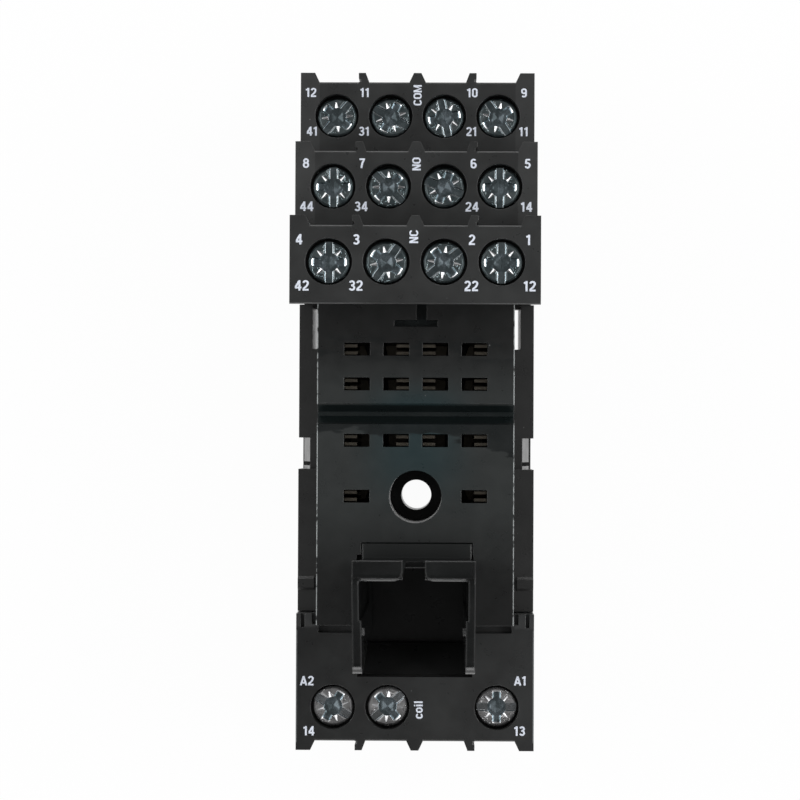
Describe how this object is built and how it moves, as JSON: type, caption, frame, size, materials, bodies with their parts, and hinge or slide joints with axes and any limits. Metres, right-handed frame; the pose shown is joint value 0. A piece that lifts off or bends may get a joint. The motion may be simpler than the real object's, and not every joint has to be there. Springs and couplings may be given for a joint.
{
  "type": "relay socket",
  "caption": "Rail-mounted relay socket with stepped screw-terminal tiers, a pin deck, a through hole for fixing and a tilting retaining clip.",
  "frame": {"origin": "centre of the back face, at mid-width and at mid-length over the barrier ribs", "axes": "+X to the right of the socket, +Y towards the COM terminals, +Z from the back towards the relay"},
  "size_m": [0.027, 0.0776, 0.0618],
  "materials": {
    "housing": "moulded black plastic with a satin gloss",
    "clip": "moulded black plastic",
    "screw": "bluish zinc plating",
    "clamp": "zinc-plated steel",
    "contact": "tinned copper alloy",
    "spring": "spring steel wire"
  },
  "bodies": {
    "root": {"base_housing": "housing", "upper_housing": "housing", "latch_spring": "spring", "contact_42": "contact", "contact_32": "contact", "contact_22": "contact", "contact_12": "contact", "contact_44": "contact", "contact_34": "contact", "contact_24": "contact", "contact_14": "contact", "contact_41": "contact", "contact_31": "contact", "contact_21": "contact", "contact_11": "contact", "contact_a1": "contact", "contact_a2": "contact"},
    "retaining_clip": {"retaining_clip": "clip"},
    "rail_latch": {"rail_latch": "clip"},
    "screw_42": {"screw_42": "screw"},
    "clamp_42": {"clamp_42": "clamp"},
    "screw_32": {"screw_32": "screw"},
    "clamp_32": {"clamp_32": "clamp"},
    "screw_22": {"screw_22": "screw"},
    "clamp_22": {"clamp_22": "clamp"},
    "screw_12": {"screw_12": "screw"},
    "clamp_12": {"clamp_12": "clamp"},
    "screw_44": {"screw_44": "screw"},
    "clamp_44": {"clamp_44": "clamp"},
    "screw_34": {"screw_34": "screw"},
    "clamp_34": {"clamp_34": "clamp"},
    "screw_24": {"screw_24": "screw"},
    "clamp_24": {"clamp_24": "clamp"},
    "screw_14": {"screw_14": "screw"},
    "clamp_14": {"clamp_14": "clamp"},
    "screw_41": {"screw_41": "screw"},
    "clamp_41": {"clamp_41": "clamp"},
    "screw_31": {"screw_31": "screw"},
    "clamp_31": {"clamp_31": "clamp"},
    "screw_21": {"screw_21": "screw"},
    "clamp_21": {"clamp_21": "clamp"},
    "screw_11": {"screw_11": "screw"},
    "clamp_11": {"clamp_11": "clamp"},
    "screw_a2": {"screw_a2": "screw"},
    "clamp_a2": {"clamp_a2": "clamp"},
    "screw_a2_link": {"screw_a2_link": "screw"},
    "clamp_a2_link": {"clamp_a2_link": "clamp"},
    "screw_a1": {"screw_a1": "screw"},
    "clamp_a1": {"clamp_a1": "clamp"}
  },
  "joints": [
    {"name": "clip_tilt", "type": "hinge", "parent": "root", "child": "retaining_clip", "pos_m": [0, -0.02296, 0.014], "axis": [1, 0, 0], "range_deg": [0, 25]},
    {"name": "latch_pull", "type": "slide", "parent": "root", "child": "rail_latch", "axis": [0, -1, 0], "range_m": [0, 0.0022], "stiffness_N_per_m": 600, "springref_m": -0.0015, "deforming": ["latch_spring"]},
    {"name": "screw_turn_42", "type": "hinge", "parent": "root", "child": "screw_42", "pos_m": [-0.0093, 0.01552, 0.0374], "axis": [0, 0, -1], "range_deg": [0, 1441]},
    {"name": "clamp_lift_42", "type": "slide", "parent": "root", "child": "clamp_42", "axis": [0, 0, 1], "range_m": [0, 0.002]},
    {"name": "screw_turn_32", "type": "hinge", "parent": "root", "child": "screw_32", "pos_m": [-0.0031, 0.01552, 0.0374], "axis": [0, 0, -1], "range_deg": [0, 1441]},
    {"name": "clamp_lift_32", "type": "slide", "parent": "root", "child": "clamp_32", "axis": [0, 0, 1], "range_m": [0, 0.002]},
    {"name": "screw_turn_22", "type": "hinge", "parent": "root", "child": "screw_22", "pos_m": [0.0031, 0.01552, 0.0374], "axis": [0, 0, -1], "range_deg": [0, 1441]},
    {"name": "clamp_lift_22", "type": "slide", "parent": "root", "child": "clamp_22", "axis": [0, 0, 1], "range_m": [0, 0.002]},
    {"name": "screw_turn_12", "type": "hinge", "parent": "root", "child": "screw_12", "pos_m": [0.0093, 0.01552, 0.0374], "axis": [0, 0, -1], "range_deg": [0, 1441]},
    {"name": "clamp_lift_12", "type": "slide", "parent": "root", "child": "clamp_12", "axis": [0, 0, 1], "range_m": [0, 0.002]},
    {"name": "screw_turn_44", "type": "hinge", "parent": "root", "child": "screw_44", "pos_m": [-0.0093, 0.02466, 0.0264], "axis": [0, 0, -1], "range_deg": [0, 1441]},
    {"name": "clamp_lift_44", "type": "slide", "parent": "root", "child": "clamp_44", "axis": [0, 0, 1], "range_m": [0, 0.002]},
    {"name": "screw_turn_34", "type": "hinge", "parent": "root", "child": "screw_34", "pos_m": [-0.0031, 0.02466, 0.0264], "axis": [0, 0, -1], "range_deg": [0, 1441]},
    {"name": "clamp_lift_34", "type": "slide", "parent": "root", "child": "clamp_34", "axis": [0, 0, 1], "range_m": [0, 0.002]},
    {"name": "screw_turn_24", "type": "hinge", "parent": "root", "child": "screw_24", "pos_m": [0.0031, 0.02466, 0.0264], "axis": [0, 0, -1], "range_deg": [0, 1441]},
    {"name": "clamp_lift_24", "type": "slide", "parent": "root", "child": "clamp_24", "axis": [0, 0, 1], "range_m": [0, 0.002]},
    {"name": "screw_turn_14", "type": "hinge", "parent": "root", "child": "screw_14", "pos_m": [0.0093, 0.02466, 0.0264], "axis": [0, 0, -1], "range_deg": [0, 1441]},
    {"name": "clamp_lift_14", "type": "slide", "parent": "root", "child": "clamp_14", "axis": [0, 0, 1], "range_m": [0, 0.002]},
    {"name": "screw_turn_41", "type": "hinge", "parent": "root", "child": "screw_41", "pos_m": [-0.0093, 0.0338, 0.0154], "axis": [0, 0, -1], "range_deg": [0, 1441]},
    {"name": "clamp_lift_41", "type": "slide", "parent": "root", "child": "clamp_41", "axis": [0, 0, 1], "range_m": [0, 0.002]},
    {"name": "screw_turn_31", "type": "hinge", "parent": "root", "child": "screw_31", "pos_m": [-0.0031, 0.0338, 0.0154], "axis": [0, 0, -1], "range_deg": [0, 1441]},
    {"name": "clamp_lift_31", "type": "slide", "parent": "root", "child": "clamp_31", "axis": [0, 0, 1], "range_m": [0, 0.002]},
    {"name": "screw_turn_21", "type": "hinge", "parent": "root", "child": "screw_21", "pos_m": [0.0031, 0.0338, 0.0154], "axis": [0, 0, -1], "range_deg": [0, 1441]},
    {"name": "clamp_lift_21", "type": "slide", "parent": "root", "child": "clamp_21", "axis": [0, 0, 1], "range_m": [0, 0.002]},
    {"name": "screw_turn_11", "type": "hinge", "parent": "root", "child": "screw_11", "pos_m": [0.0093, 0.0338, 0.0154], "axis": [0, 0, -1], "range_deg": [0, 1441]},
    {"name": "clamp_lift_11", "type": "slide", "parent": "root", "child": "clamp_11", "axis": [0, 0, 1], "range_m": [0, 0.002]},
    {"name": "screw_turn_a2", "type": "hinge", "parent": "root", "child": "screw_a2", "pos_m": [-0.0093, -0.0339, 0.0199], "axis": [0, 0, -1], "range_deg": [0, 1441]},
    {"name": "clamp_lift_a2", "type": "slide", "parent": "root", "child": "clamp_a2", "axis": [0, 0, 1], "range_m": [0, 0.002]},
    {"name": "screw_turn_a2_link", "type": "hinge", "parent": "root", "child": "screw_a2_link", "pos_m": [-0.0031, -0.0339, 0.0199], "axis": [0, 0, -1], "range_deg": [0, 1441]},
    {"name": "clamp_lift_a2_link", "type": "slide", "parent": "root", "child": "clamp_a2_link", "axis": [0, 0, 1], "range_m": [0, 0.002]},
    {"name": "screw_turn_a1", "type": "hinge", "parent": "root", "child": "screw_a1", "pos_m": [0.0093, -0.0339, 0.0199], "axis": [0, 0, -1], "range_deg": [0, 1441]},
    {"name": "clamp_lift_a1", "type": "slide", "parent": "root", "child": "clamp_a1", "axis": [0, 0, 1], "range_m": [0, 0.002]}
  ],
  "couplings": [
    {"joint": "screw_turn_42", "follows": "clamp_lift_42", "rad_per_m": 12566},
    {"joint": "screw_turn_32", "follows": "clamp_lift_32", "rad_per_m": 12566},
    {"joint": "screw_turn_22", "follows": "clamp_lift_22", "rad_per_m": 12566},
    {"joint": "screw_turn_12", "follows": "clamp_lift_12", "rad_per_m": 12566},
    {"joint": "screw_turn_44", "follows": "clamp_lift_44", "rad_per_m": 12566},
    {"joint": "screw_turn_34", "follows": "clamp_lift_34", "rad_per_m": 12566},
    {"joint": "screw_turn_24", "follows": "clamp_lift_24", "rad_per_m": 12566},
    {"joint": "screw_turn_14", "follows": "clamp_lift_14", "rad_per_m": 12566},
    {"joint": "screw_turn_41", "follows": "clamp_lift_41", "rad_per_m": 12566},
    {"joint": "screw_turn_31", "follows": "clamp_lift_31", "rad_per_m": 12566},
    {"joint": "screw_turn_21", "follows": "clamp_lift_21", "rad_per_m": 12566},
    {"joint": "screw_turn_11", "follows": "clamp_lift_11", "rad_per_m": 12566},
    {"joint": "screw_turn_a2", "follows": "clamp_lift_a2", "rad_per_m": 12566},
    {"joint": "screw_turn_a2_link", "follows": "clamp_lift_a2_link", "rad_per_m": 12566},
    {"joint": "screw_turn_a1", "follows": "clamp_lift_a1", "rad_per_m": 12566}
  ]
}
